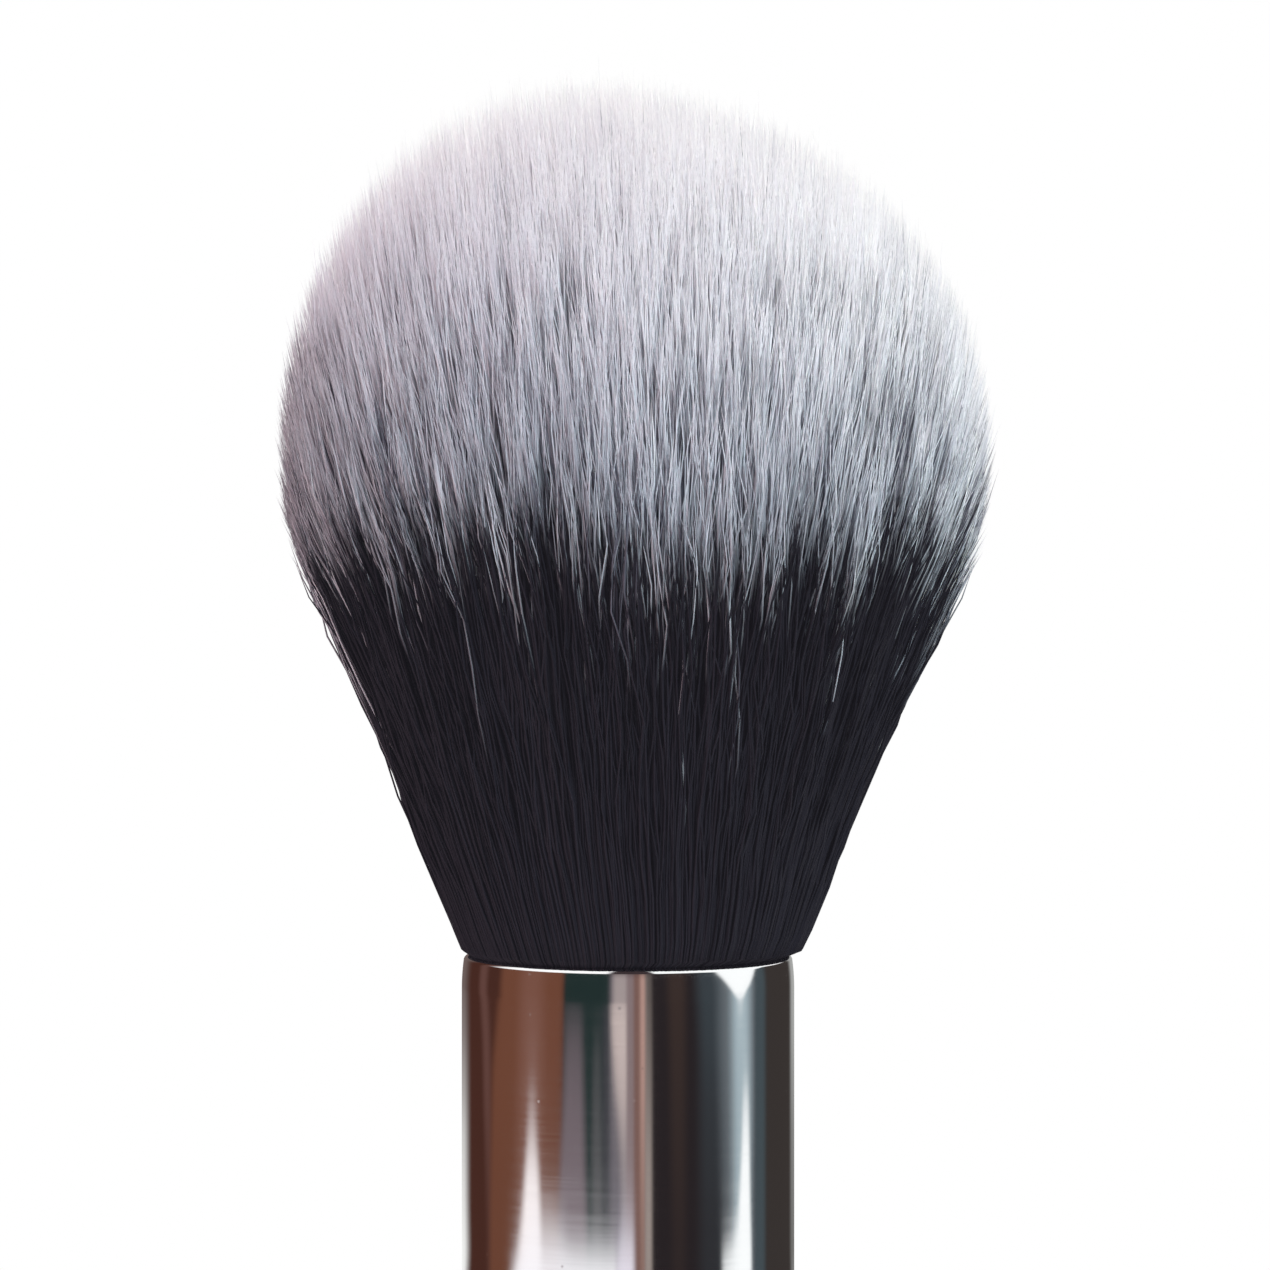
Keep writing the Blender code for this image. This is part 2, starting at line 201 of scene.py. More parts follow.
bristle = {
    "seed": 7,
    "count": 26000,            # separate strands
    "thickness": 0.092 * mm,   # across one strand
    "tipShare": 0.45,          # of the thickness, left at the tip
    "taperShare": 0.22,        # last part of a strand, where it thins
    "baseThick": 0.45,         # added share of thickness at the mouth
    "baseShare": 0.6,          # first part of a strand, over which that fades
    "rootDepth": 1.5 * mm,     # where the separate strands start, below the mouth
    "plugRise": 0.3 * mm,      # how far above that the solid root ends
    "weld": 0.001 * mm,        # corners of the solid root nearer than this are one
    "throatRadius": 5.7 * mm,  # of the bundle where the strands start
    "lipRadius": 6.05 * mm,    # of the bundle at the mouth
    "lipSpan": 0.12 * mm,      # height over which the bundle springs out over the lip
    "springRadius": 6.6 * mm,  # of the fan, taken back to the mouth
    "bellyRadius": 13.95 * mm,  # of the dome where it is widest
    "bellyHeight": 19.7 * mm,  # of that place above the mouth
    "outerTipDrop": 4.0 * mm,  # how far below it the outermost tips end
    "domePower": 2.12,         # 2 makes the dome an ellipse, and more makes it fuller
    "domeRows": 300,           # heights at which the dome and the fan are compared
    "waist": 0.40 * mm,        # how far the fan's sides bend in, halfway up
    "waistSpan": 18 * mm,
    "bendStart": 12 * mm,      # height where the strands begin to turn upright
    "bendSpan": 22 * mm,
    "bendShare": 0.6,          # of their slope that they have lost at the end of it
    "twist": 0.12,             # radians that the bundle turns about its axis on its way up
    "twistSpan": 28 * mm,      # height where the turn ends, gently
    "gather": 0.11,            # radians by which strands draw to the front and the back
    "gatherSpan": 22 * mm,
    "sideLean": 0.30 * mm,     # how far the head's middle leans to the right
    "sideSpan": 36 * mm,
    "baseLean": 0.16 * mm,     # how far the head's foot leans to the right
    "baseRise": 0.3 * mm,      # height over which that sets in
    "baseSpan": 6 * mm,        # height where it has faded
    "crownLean": 0.2 * mm,     # how far the strands of the crown lean to the left
    "crownShift": 0.85 * mm,   # how far left of the axis the top of the dome is cut
    "crownFocus": 2.5,         # how soon that fades away from the top
    "mouthHeights": (-1.5 * mm, -0.03 * mm, 0.25 * mm, 1.0 * mm),  # of a strand's first points
    "mouthShare": 0.08,        # part of a strand's way that they take up
    "levels": 9,               # further points along a strand
    "clumps": 1300,
    "clumpPull": 0.40,         # part of the way to the clump's middle that a tip is drawn
    "clumpRange": (0.2, 1.3),  # how much that differs from clump to clump
    "locks": 170,
    "lockPull": 0.13,          # the same for the larger locks
    "lockRange": (0.0, 1.6),
    "groupJitter": 0.8,        # how unevenly clumps and locks lie, in spacings
    "axisPull": 0.15,          # share of both pulls at the axis
    "edgePull": 1.05,          # what the square of the radius adds to it
    "stray": 0.010,            # how far a tip strays, as a share of the fan's radius
    "wild": 0.02,              # share of the strands that stray further
    "wildStray": 3.0,          # how many times further
    "wave": 0.010,             # in and out, of each strand's own wave
    "sway": 0.020,             # the same to the side
    "waveCount": (1.2, 2.6),   # least and most waves along a strand
    "waveGrowth": 0.5,         # first part of a strand, over which they grow
    "jitter": 0.006,           # random shift of each point
    "wander": 0.004,           # the same for a whole clump
    "jitterGrowth": 0.3,
    "tipSpread": 0.22 * mm,    # how unevenly the tips meet the dome
    "tipMean": -0.2,           # their mean, in that spread
    "longShare": 0.03,         # share of the strands that stick out
    "longBy": (0.2 * mm, 0.9 * mm),
    "tipLimits": (-1.2 * mm, 1.0 * mm),
    "paleHeight": 15.6 * mm,   # where strands turn from black to white
    "paleSpread": 1.3 * mm,
    "clumpSpread": 0.95 * mm,  # the same for a whole clump
    "quick": (0.7, 1.3),       # least and most quickness of the change
    "early": 0.07,             # share of the strands that change lower down and slowly
    "earlyDrop": (0.5 * mm, 3.7 * mm),
    "earlyQuick": (0.25, 0.7),
    "rimRank": 0.972,          # share of the radius outside which some strands stand off and some pale early, most of these as painted rim light at the sides
    "loose": 0.004,            # how far they all spread
    "lone": 0.05,              # share of them that stands off
    "loneSpread": 0.022,
    "fringe": 0.015,           # share of them that pales early all round
    "rimLightRight": 0.95,       # and more on the right, as painted rim light
    "rimLightLeft": 0.85,        # and on the left, also painted rim light
    "rimLightTurns": (0.30, 0.21),  # radians to either side of the painted rim light, on the right and on the left
    "fringeDrop": (1.5 * mm, 8.0 * mm),
    "fringeQuick": (0.2, 0.8),
    "softSide": 0.05 * mm,     # how far the right side draws in under the strands that stand off
    "softTurn": 0.5,           # radians over which that fades to either side
    "softSpan": (5 * mm, 19 * mm),
    # Place round the head in radians, width in radians, and depth of each dip in the pale height
    "dips": ((-1.33, 0.36, 1.4 * mm), (3.14, 0.45, 1.4 * mm), (-0.80, 0.10, 0.9 * mm),
             (-0.3, 0.3, -0.5 * mm), (-2.10, 0.13, -0.7 * mm), (-1.03, 0.06, -0.5 * mm)),
    "paleSpan": 20 * mm,       # height that half of the UV map covers
    "columns": 24,             # strand tints on the UV map
    "columnFill": 0.7,         # share of a column that a strand takes up
    "plugUv": (0.05, 0.1),     # start and size of the solid root on the UV map
    "clumpTint": 0.55,         # share of the strands that take their clump's tint
    # Colours by millimetres above the change, whose slow rise from grey to white above it is partly the
    # dye's own change and partly painted shade, greyer lower on the head where less light falls from above;
    # then tints by share of the strands, random tone spread wide so that it also paints glints and shade
    # between strands; then how much of the tint shows, by millimetres above the change
    "colours": ((-0.6, (0.021, 0.018, 0.025)), (0.6, (0.34, 0.335, 0.36)), (2.0, (0.66, 0.655, 0.69)),
                (8.0, (0.86, 0.855, 0.875)), (15.0, (0.92, 0.915, 0.925))),
    "tintsAndGlints": ((0.0, (0.19, 0.185, 0.22)), (0.38, (0.85, 0.845, 0.865)), (1.0, (1.21, 1.21, 1.21))),
    "tintFade": ((-3, 0.25), (1, 1), (4.5, 1), (9, 0.38), (15, 0.12)),
    "roughness": 0.65,
    "specular": 0.15,
    "glow": (0.8, 0.76, 1, 1),
    "glowStrength": 0.009,     # stands for light that strands pass on to one another
}


def domeRadius(z):
    # Nearly an ellipse round the belly: R * sqrt(1 - |(z - belly height) / dome height|^power)
    b = bristle
    level = (z - b["bellyHeight"]) / (headTop - b["bellyHeight"])
    return b["bellyRadius"] * np.sqrt(np.maximum(1 - np.abs(level) ** b["domePower"], 0))


def splayed(z):
    # The height, less share * span * (t^3 - t^4 / 2) for the bend that turns the strands upright
    b = bristle
    t = np.clip((z - b["bendStart"]) / b["bendSpan"], 0, 1)
    return np.maximum(z, 0) - b["bendShare"] * b["bendSpan"] * (t ** 3 - t ** 4 / 2)


def fanRadius(z):
    # A line from the mouth to where the outermost tips end, bent upright as above, less a pinch that
    # fades just above the lip and a slight waist; below the mouth the bundle narrows to its throat
    b = bristle
    edge = b["bellyHeight"] - b["outerTipDrop"]
    slope = (domeRadius(edge) - b["springRadius"]) / splayed(edge)
    pinch = (b["springRadius"] - b["lipRadius"]) * np.exp(-np.maximum(z, 0) / b["lipSpan"])
    hollow = b["waist"] * arched(z / b["waistSpan"])
    throat = (b["lipRadius"] - b["throatRadius"]) * np.clip(-z / b["rootDepth"], 0, 1)
    return b["springRadius"] + slope * splayed(z) - pinch - hollow - throat


def tipHeight(rank):
    # The height where the dome's radius has fallen to rank * the fan's radius
    b = bristle
    z = np.linspace(b["bellyHeight"] - b["outerTipDrop"], headTop, b["domeRows"])
    share = domeRadius(z) / fanRadius(z)
    return np.interp(rank, share[::-1], z[::-1])


def evenScatter(count, rng, jitter):
    # Spot i lies at rank sqrt(i / count) and i golden angles, moved at random by up to a spacing
    index = np.arange(count) + 0.5
    rank = np.sqrt(index / count)
    angle = index * np.pi * (3 - np.sqrt(5))
    spot = np.stack([rank * np.cos(angle), rank * np.sin(angle)], -1)
    return spot + rng.uniform(-1, 1, spot.shape) * jitter * np.sqrt(np.pi / count)


def nearest(spots, centres):
    # The centre with the least s.s - 2 s.c + c.c, for each spot
    gaps = (spots ** 2).sum(1)[:, None] - 2 * spots @ centres.T + (centres ** 2).sum(1)
    return gaps.argmin(1)


def strandShares():
    # How far along its way each point of a strand lies, from 0 to 1. The first points stand in, at
    # and above the mouth, where the fan opens suddenly, and the others divide the rest evenly.
    b = bristle
    upper = np.linspace(0, 1, b["levels"] + 1)[1:]
    first = (np.array(b["mouthHeights"]) + b["rootDepth"]) / headTop
    return upper, np.concatenate([first, b["mouthShare"] + (1 - b["mouthShare"]) * upper])


def strandPlaces(rng):
    # A strand's place in the bundle is its spot in a disc of radius 1. At share t of its way it has
    # moved by pull * eased(t) towards the middles of its clump and its lock, by stray * t^2, by a
    # wave sin(2 pi * count * t + phase), wider to the side than in and out, and by a random jitter.
    b = bristle
    count, shares = b["count"], strandShares()[1]
    spots = evenScatter(count, rng, 1.0)
    spots *= np.minimum(1, 1 / np.linalg.norm(spots, axis=1))[:, None]
    clumps = evenScatter(b["clumps"], rng, b["groupJitter"])
    locks = evenScatter(b["locks"], rng, b["groupJitter"])
    clump = nearest(spots, clumps)
    lock = nearest(spots, locks)
    rank = np.linalg.norm(spots, axis=1)
    around = np.arctan2(spots[:, 1], spots[:, 0])
    outward = b["axisPull"] + b["edgePull"] * rank ** 2
    clumpPull = b["clumpPull"] * rng.uniform(*b["clumpRange"], b["clumps"])[clump] * outward
    lockPull = b["lockPull"] * rng.uniform(*b["lockRange"], b["locks"])[lock] * outward
    rise = eased(shares)[None, :, None]
    drawn = clumpPull[:, None, None] * rise * (clumps[clump] - spots)[:, None, :]
    drawn = drawn + lockPull[:, None, None] * rise * (locks[lock] - spots)[:, None, :]
    strayTurn = rng.uniform(0, 2 * np.pi, count)
    strayFar = b["stray"] * np.abs(rng.normal(0, 1, count))
    strayFar *= np.where(rng.random(count) < b["wild"], b["wildStray"], 1.0)
    stray = np.stack([np.cos(strayTurn), np.sin(strayTurn)], -1) * strayFar[:, None]
    waveTurn, wavePhase = rng.uniform(0, 2 * np.pi, (2, count))
    waveCount = rng.uniform(*b["waveCount"], count)
    wave = np.sin(2 * np.pi * shares * waveCount[:, None] + wavePhase[:, None])
    wave = wave * eased(shares / b["waveGrowth"])
    waveWay = np.stack(turned(b["wave"] * np.cos(waveTurn), b["sway"] * np.sin(waveTurn), around), -1)
    places = spots[:, None, :] + drawn + stray[:, None, :] * (shares ** 2)[None, :, None]
    places = places + waveWay[:, None, :] * wave[:, :, None]
    settled = eased(shares / b["jitterGrowth"])
    wander = rng.normal(0, b["wander"], (b["clumps"], len(shares), 2))[clump]
    places = places + (rng.normal(0, b["jitter"], places.shape) + wander) * settled[:, None]
    # The outermost strands spread a little, and a few stand off
    rim = rank > b["rimRank"]
    lone = rim & (rng.random(count) < b["lone"])
    loose = b["loose"] * np.abs(rng.normal(0, 1, count)) * rim
    loose = loose + b["loneSpread"] * rng.random(count) * lone
    places = places * (1 + loose[:, None] * settled)[..., None]
    return spots, around, places, clump, rim, lone


def strandHeights(ends, rng):
    # Heights of a strand's points above the mouth, up to where its end meets the dome, which is cut
    # a little left of the axis towards its top
    b = bristle
    count, upper = len(ends), strandShares()[0]
    shift = b["crownShift"] * np.maximum(1 - (ends ** 2).sum(1), 0) ** b["crownFocus"]
    tips = tipHeight(np.hypot(ends[:, 0] + shift / b["bellyRadius"], ends[:, 1]))
    spread = b["tipSpread"] * rng.normal(b["tipMean"], 1, count)
    spread += np.where(rng.random(count) < b["longShare"], rng.uniform(*b["longBy"], count), 0)
    tips = tips + np.clip(spread, *b["tipLimits"])
    first = np.array(b["mouthHeights"])
    above = first[-1] + (tips - first[-1])[:, None] * upper
    return np.concatenate([np.broadcast_to(first, (count, len(first))), above], 1)


def strandTints(z, around, clump, rim, rng):
    # shade is the height above a strand's own change of colour * how quick it is, on the UV map,
    # where 0.5 is the change itself; column tells which tint the strand takes
    b = bristle
    count = len(around)
    pale = b["paleHeight"] + b["paleSpread"] * rng.normal(0, 1, count)
    pale += b["clumpSpread"] * rng.normal(0, 1, b["clumps"])[clump]
    early = rng.random(count) < b["early"]
    pale -= np.where(early, rng.uniform(*b["earlyDrop"], count), 0)
    quick = np.where(early, rng.uniform(*b["earlyQuick"], count), rng.uniform(*b["quick"], count))
    # The change of colour dips here and there round the head, by a bell curve in the angle
    for centre, width, depth in b["dips"]:
        away = np.abs(around - centre)
        pale -= depth * np.exp(-(np.minimum(away, 2 * np.pi - away) / width) ** 2)
    # Many of the outermost strands at the right and left sides turn pale lower down and slowly: painted rim
    # light, where the side-lit edges of the head are drawn as paler colour; a few do the same all round
    fromRight = np.abs(around)
    rightTurn, leftTurn = b["rimLightTurns"]
    # A few strands all round, and many more in the painted rim light at the right and left sides
    chance = b["fringe"] + b["rimLightRight"] * np.exp(-(fromRight / rightTurn) ** 4)
    chance += b["rimLightLeft"] * np.exp(-((np.pi - fromRight) / leftTurn) ** 4)
    fringe = rim & (rng.random(count) < chance)
    pale -= np.where(fringe, rng.uniform(*b["fringeDrop"], count), 0)
    quick = np.where(fringe, rng.uniform(*b["fringeQuick"], count), quick)
    shade = 0.5 + (z - pale[:, None]) * quick[:, None] / (2 * b["paleSpan"])
    clumpColumn = rng.integers(0, b["columns"], b["clumps"])[clump]
    alike = rng.random(count) < b["clumpTint"]
    column = np.where(alike, clumpColumn, rng.integers(0, b["columns"], count))
    return shade, column


def strandPaths():
    # Each point is the strand's place in the bundle * the fan's radius at its height, turned about
    # the axis by the twist and the gather, and moved sideways by the leans
    b = bristle
    rng = np.random.default_rng(b["seed"])
    spots, around, places, clump, rim, lone = strandPlaces(rng)
    z = strandHeights(places[:, -1], rng)
    low, high = b["softSpan"]
    softIn = b["softSide"] * np.exp(-(around / b["softTurn"]) ** 2) * ~lone
    reach = fanRadius(z) - softIn[:, None] * arched((z - low) / (high - low))
    turn = b["twist"] * ((1 - np.minimum(z / b["twistSpan"], 1)) ** 2 - 0.5)
    turn = turn + b["gather"] * np.sin(2 * around)[:, None] * eased(z / b["gatherSpan"])
    x, y = turned(places[..., 0], places[..., 1], turn)
    # The head leans a little: to the right low down, and to the left at the crown
    crown = np.maximum(z - b["bellyHeight"], 0) / (headTop - b["bellyHeight"])
    foot = eased(z / b["baseRise"]) * (1 - eased(z / b["baseSpan"]))
    lean = b["sideLean"] * arched(z / b["sideSpan"]) + b["baseLean"] * foot - b["crownLean"] * crown ** 3
    shade, column = strandTints(z, around, clump, rim, rng)
    points = np.stack([x * reach + lean, y * reach, z + mouth], -1)
    return spots, points, shade, column, rng


def strandMesh(points, shade, column, rng):
    # Three corners stand round each point of a strand but the last, which is its tip. Corner s is
    # the point + half the thickness * (first cos a_s + second sin a_s), both square to the strand.
    b = bristle
    count, rings = points.shape[0], points.shape[1] - 1
    along = points[:, -1] - points[:, 0]
    along /= np.linalg.norm(along, axis=1)[:, None]
    first = np.cross(along, rng.normal(0, 1, (count, 3)))
    first /= np.linalg.norm(first, axis=1)[:, None]
    second = np.cross(along, first)
    level = np.linspace(0, 1, points.shape[1])[:-1]
    taper = eased((level - 1 + b["taperShare"]) / b["taperShare"])
    width = b["thickness"] / 2 * (1 - (1 - b["tipShare"]) * taper)
    width = width * (1 + b["baseThick"] * (1 - eased(level / b["baseShare"])))
    corner = np.arange(3)
    turn = corner * 2 * np.pi / 3
    ring = first[:, None, :] * np.cos(turn)[:, None] + second[:, None, :] * np.sin(turn)[:, None]
    tube = points[:, :-1, None, :] + width[None, :, None, None] * ring[:, None, :, :]
    verts = np.concatenate([tube.reshape(count, -1, 3), points[:, -1:, :]], 1)
    each = verts.shape[1]
    last = (rings - 1) * 3
    tip = np.stack([last + corner, last + (corner + 1) % 3, np.full(3, each - 1)], -1)
    root = [[2, 1, 0]]
    start = (np.arange(count) * each)[:, None, None]
    quads = gridQuads(rings, 3, flip=True) + start
    tris = np.vstack([tip, root]) + start
    # UV: across is the strand's column, up is its height above its own change of colour
    across = np.append(np.tile([0.0, 0.5, 1.0], rings), 0.5)[None, :]
    u = (column[:, None] + 0.5 + b["columnFill"] * (across - 0.5)) / b["columns"]
    v = np.concatenate([np.repeat(shade[:, :-1], 3, 1), shade[:, -1:]], 1)
    uvPoints = np.stack([u, v], -1).reshape(-1, 2)
    return verts.reshape(-1, 3), quads.reshape(-1, 4), tris.reshape(-1, 3), uvPoints


def rootPlug(name):
    # The CAD lock's own lower end, cut just above where the strands start, so that they grow out of
    # it, and closed
    bm = bmesh.new()
    bm.from_mesh(nodes[name].data)
    bmesh.ops.remove_doubles(bm, verts=bm.verts[:], dist=bristle["weld"])
    level = mouth - bristle["rootDepth"] + bristle["plugRise"]
    cut = bmesh.ops.bisect_plane(bm, geom=bm.verts[:] + bm.edges[:] + bm.faces[:], plane_co=(0, 0, level),
                                 plane_no=(0, 0, 1), clear_outer=True)["geom_cut"]
    rim = [item for item in cut if isinstance(item, bmesh.types.BMEdge)]
    bmesh.ops.contextual_create(bm, geom=rim)
    bmesh.ops.recalc_face_normals(bm, faces=bm.faces[:])
    bmesh.ops.triangulate(bm, faces=bm.faces[:])
    bm.verts.index_update()
    points = np.array([vert.co for vert in bm.verts])
    tris = np.array([[vert.index for vert in face.verts] for face in bm.faces])
    bm.free()
    return points, tris


def lockOf(spots):
    # The CAD cell of each spot: a disc in the middle and two rings of equal sectors
    inner = sorted(name for name in nodes if name.startswith("inner_lock"))
    outer = sorted(name for name in nodes if name.startswith("outer_lock"))
    total = 1 + len(inner) + len(outer)
    rank = np.linalg.norm(spots, axis=1)
    angle = np.arctan2(spots[:, 1], spots[:, 0])
    innerCell = np.round(angle / (2 * np.pi) * len(inner)).astype(int) % len(inner)
    outerCell = np.round(angle / (2 * np.pi) * len(outer)).astype(int) % len(outer)
    cell = np.where(rank < math.sqrt((1 + len(inner)) / total), 1 + innerCell,
                    1 + len(inner) + outerCell)
    cell = np.where(rank < math.sqrt(1 / total), 0, cell)
    return ["centre_lock"] + inner + outer, cell


def bristleFinish():
    # Black below a strand's change of colour and white above it, greyer lower down as partly painted shade,
    # with a tint for each strand that also paints glints and shade between strands
    b = bristle
    made, tree, shader = material("bristleFibre", {
        "Roughness": b["roughness"], "Specular IOR Level": b["specular"],
        "Emission Color": b["glow"], "Emission Strength": b["glowStrength"]})
    uvMap = addNode(tree, "UVMap", uv_map="OFBake")
    split = addNode(tree, "SeparateXYZ", {0: uvMap.outputs[0]})
    across, up = split.outputs[0], split.outputs[1]
    step = 0.5 / (b["paleSpan"] / mm)
    # The slow rise from grey to white above the change is partly painted shade
    colour = rampNode(tree, up, [(0.5 + rise * step, paint) for rise, paint in b["colours"]])
    column = mathNode(tree, "FLOOR", mathNode(tree, "MULTIPLY", across, b["columns"]))
    noise = addNode(tree, "TexWhiteNoise", {"W": column}, noise_dimensions="1D")
    # Each strand's tint is random tone spread wide enough to paint glints and shade between strands
    tint = rampNode(tree, noise.outputs["Value"], b["tintsAndGlints"])
    # The tint shows most just above the change of colour and fades towards the tips and the mouth
    fade = rampNode(tree, up, [(0.5 + rise * step, (share, share, share)) for rise, share in b["tintFade"]])
    mix = addNode(tree, "Mix", {"Factor": fade, "A": colour, "B": tint}, data_type="RGBA",
                  blend_type="MULTIPLY")
    feed(tree, shader, {"Base Color": mix.outputs["Result"]})
    return made


def buildBristles():
    # One piece for each CAD lock: its strands and its solid root
    finish = bristleFinish()
    spots, points, shade, column, rng = strandPaths()
    names, cell = lockOf(spots)
    plugStart, plugSize = bristle["plugUv"]
    for number, name in enumerate(names):
        mine = cell == number
        verts, quads, tris, uvPoints = strandMesh(points[mine], shade[mine], column[mine], rng)
        plugPoints, plugTris = rootPlug(name)
        # The root lies low on the UV map, where the fibre is black
        flat = plugPoints[:, [0, 2]]
        plugUv = plugStart + plugSize * (flat - flat.min(0)) / np.ptp(plugPoints[:, 2])
        tris = np.vstack([tris, plugTris + len(verts)])
        verts = np.vstack([verts, plugPoints])
        uvPoints = np.vstack([uvPoints, plugUv])
        uv = np.vstack([uvPoints[quads.ravel()], uvPoints[tris.ravel()]])
        piece = meshPiece("bristles_" + name, verts, quads, tris, uv)
        piece.data.materials.append(finish)
        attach(piece, "root")
        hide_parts(name)
    print("bristles made:", len(points), "strands in", len(names), "locks")


# Ferrule

ferrule = {
    "wall": 0.4 * mm,
    "easeLength": 1.3 * mm,    # of the slight narrowing below the lip
    "easeDepth": 0.10 * mm,
    "crimps": (5.0 * mm, 8.2 * mm),  # heights above the lower edge
    "crimpWidth": 1.8 * mm,
    "crimpDepth": 0.45 * mm,
    "chamfer": 0.05 * mm,      # of the lower edge
    "plainRows": (12 * mm, 20 * mm, 28 * mm),  # heights of rows where the tube is plain
    "easeLead": 0.2 * mm,      # from the last of those to the narrowing
    "crimpRows": 15,
    "easeRows": 14,
    "lipRows": 13,
    "around": 256,
    "colour": (0.78, 0.775, 0.78, 1),
    "roughness": 0.05,
    "lineScale": (300, 300, 9000),  # of the fine lines round the tube
    "lineRough": 0.06,         # roughness that they add
    "speckScale": 700,         # of the cells with one dull speck each
    "speckEdge": (0.06, 0.03),  # from its outer to its inner edge, in cells
    "speckRough": 0.12,
    "swellScale": 130,         # of the slight swell of the surface
    "swellStrength": 0.3,
    "swellDepth": 0.05 * mm,
}


def pressedIn(rise):
    # A cosine dip at each crimp, and an ease that grows with the square of the way to the mouth
    f = ferrule
    depth = np.zeros_like(rise)
    for centre in f["crimps"]:
        away = np.clip((rise - centre) / f["crimpWidth"], -0.5, 0.5)
        depth += f["crimpDepth"] * (1 + np.cos(2 * np.pi * away)) / 2
    return depth + f["easeDepth"] * np.clip(1 - (ferruleLength - rise) / f["easeLength"], 0, 1) ** 2


def crimpRises(rows):
    # Heights above the ferrule's lower edge, spread evenly over each crimp
    shares = np.linspace(-0.5, 0.5, rows)
    return (np.array(ferrule["crimps"])[:, None] + shares * ferrule["crimpWidth"]).ravel()


def chromeFinish():
    # Bright plating with fine lines round the tube, a few dull specks and a slight swell
    f = ferrule
    made, tree, shader = material("brightPlating", {
        "Base Color": f["colour"], "Metallic": 1.0, "Roughness": f["roughness"]})
    place = ownPlace(tree)
    lines = addNode(tree, "TexNoise", {"Vector": ownPlace(tree, f["lineScale"]), "Scale": 1, "Detail": 3})
    cells = addNode(tree, "TexVoronoi", {"Vector": place, "Scale": f["speckScale"]})
    outer, inner = f["speckEdge"]
    speck = addNode(tree, "MapRange", {"Value": cells.outputs["Distance"], "From Min": outer,
                                       "From Max": inner})
    rough = mathNode(tree, "MULTIPLY_ADD", lines.outputs["Fac"], f["lineRough"], f["roughness"])
    rough = mathNode(tree, "ADD", rough, mathNode(tree, "MULTIPLY", speck.outputs[0], f["speckRough"]))
    swell = addNode(tree, "TexNoise", {"Vector": place, "Scale": f["swellScale"], "Detail": 1})
    bump = addNode(tree, "Bump", {"Strength": f["swellStrength"], "Distance": f["swellDepth"],
                                  "Height": swell.outputs["Fac"]})
    feed(tree, shader, {"Roughness": rough, "Normal": bump.outputs[0]})
    return made


def buildFerrule():
    # Down the outside, up the inside and over a round lip, turned about the axis
    f = ferrule
    lip = f["wall"] / 2
    easeStart = ferruleLength - f["easeLength"]
    rises = np.concatenate([[0, f["chamfer"]], crimpRises(f["crimpRows"]), f["plainRows"],
                            [easeStart - f["easeLead"]],
                            np.linspace(easeStart, ferruleLength - lip, f["easeRows"])])[::-1]
    outer = np.stack([ferruleRadius - pressedIn(rises), rises], -1)
    inner = outer[::-1] - [f["wall"], 0]
    outer[-1, 0] -= f["chamfer"]
    inner[0, 0] += f["chamfer"]
    arc = cornerArc(outer[0, 0] - lip, ferruleLength - lip, lip, math.pi, 0, f["lipRows"])[1:-1]
    outline = np.vstack([outer, inner, arc])
    piece = turnedPiece("ferruleTube", outline[:, 0], outline[:, 1] + ferruleLow.z, f["around"], True)
    piece.data.materials.append(chromeFinish())
    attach(piece, "root")
    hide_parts("ferrule")
    print("ferrule made")


# Handle

handle = {
    "length": 105 * mm,        # up to the ferrule
    "swellRadius": 6.9 * mm,   # where the grip is thickest
    "swellDrop": 13 * mm,      # of that place below the ferrule
    "waistRadius": 4.8 * mm,
    "waistHeight": 36 * mm,
    "buttRadius": 6.0 * mm,
    "buttEdge": 1.2 * mm,      # radius of the rounded lower edge
    "shoulderEdge": 0.3 * mm,  # and of the one below the ferrule
    "tenonRadius": 5.8 * mm,   # of the part inside the ferrule
    "noseRadius": 5.0 * mm,    # of its thinner upper end
    "noseLength": 5.0 * mm,
    "edge": 0.4 * mm,          # radius of their rounded edges
    "edgeRows": 6,
    "crimpRows": 11,
    "shoulderRows": 7,
    "gripRows": 90,
    "buttRows": 12,
    "around": 128,
    "colour": (0.0075, 0.0075, 0.0085, 1),
    "roughness": 0.22,         # in all, where the pattern can't be read
    "leastRough": 0.12,
    "peelRough": 0.16,         # what the peel adds to it
    "coatRough": 0.06,
    "peelScale": 900,          # of the lacquer's fine unevenness
    "poreScale": (700, 700, 30),  # of the wood's pores under it
    "poreShare": 0.4,          # of their depth that shows
    "bumpStrength": 0.06,
    "bumpDepth": 0.03 * mm,
}


def gripRadius(height):
    # Cosine blends between butt, waist, swell and shoulder
    h = handle
    stations = [(0, h["buttRadius"]), (h["waistHeight"], h["waistRadius"]),
                (h["length"] - h["swellDrop"], h["swellRadius"]), (h["length"], ferruleRadius)]
    radius = np.zeros_like(height)
    for (low, lowRadius), (high, highRadius) in zip(stations, stations[1:]):
        share = (1 - np.cos(np.pi * (height - low) / (high - low))) / 2
        here = (height >= low) & (height <= high)
        radius = np.where(here, lowRadius + share * (highRadius - lowRadius), radius)
    return radius


def lacquerFinish():
    # Black lacquer with a clear coat, uneven like fine orange peel and along the wood's pores
    h = handle
    made, tree, shader = material("blackLacquer", {
        "Base Color": h["colour"], "Roughness": h["roughness"], "Coat Weight": 1.0,
        "Coat Roughness": h["coatRough"]})
    peel = addNode(tree, "TexNoise", {"Vector": ownPlace(tree), "Scale": h["peelScale"], "Detail": 2})
    pores = addNode(tree, "TexNoise", {"Vector": ownPlace(tree, h["poreScale"]), "Scale": 1, "Detail": 4})
    height = mathNode(tree, "MULTIPLY_ADD", pores.outputs["Fac"], h["poreShare"], peel.outputs["Fac"])
    bump = addNode(tree, "Bump", {"Strength": h["bumpStrength"], "Distance": h["bumpDepth"],
                                  "Height": height})
    rough = mathNode(tree, "MULTIPLY_ADD", peel.outputs["Fac"], h["peelRough"], h["leastRough"])
    feed(tree, shader, {"Roughness": rough, "Normal": bump.outputs[0]})
    return made


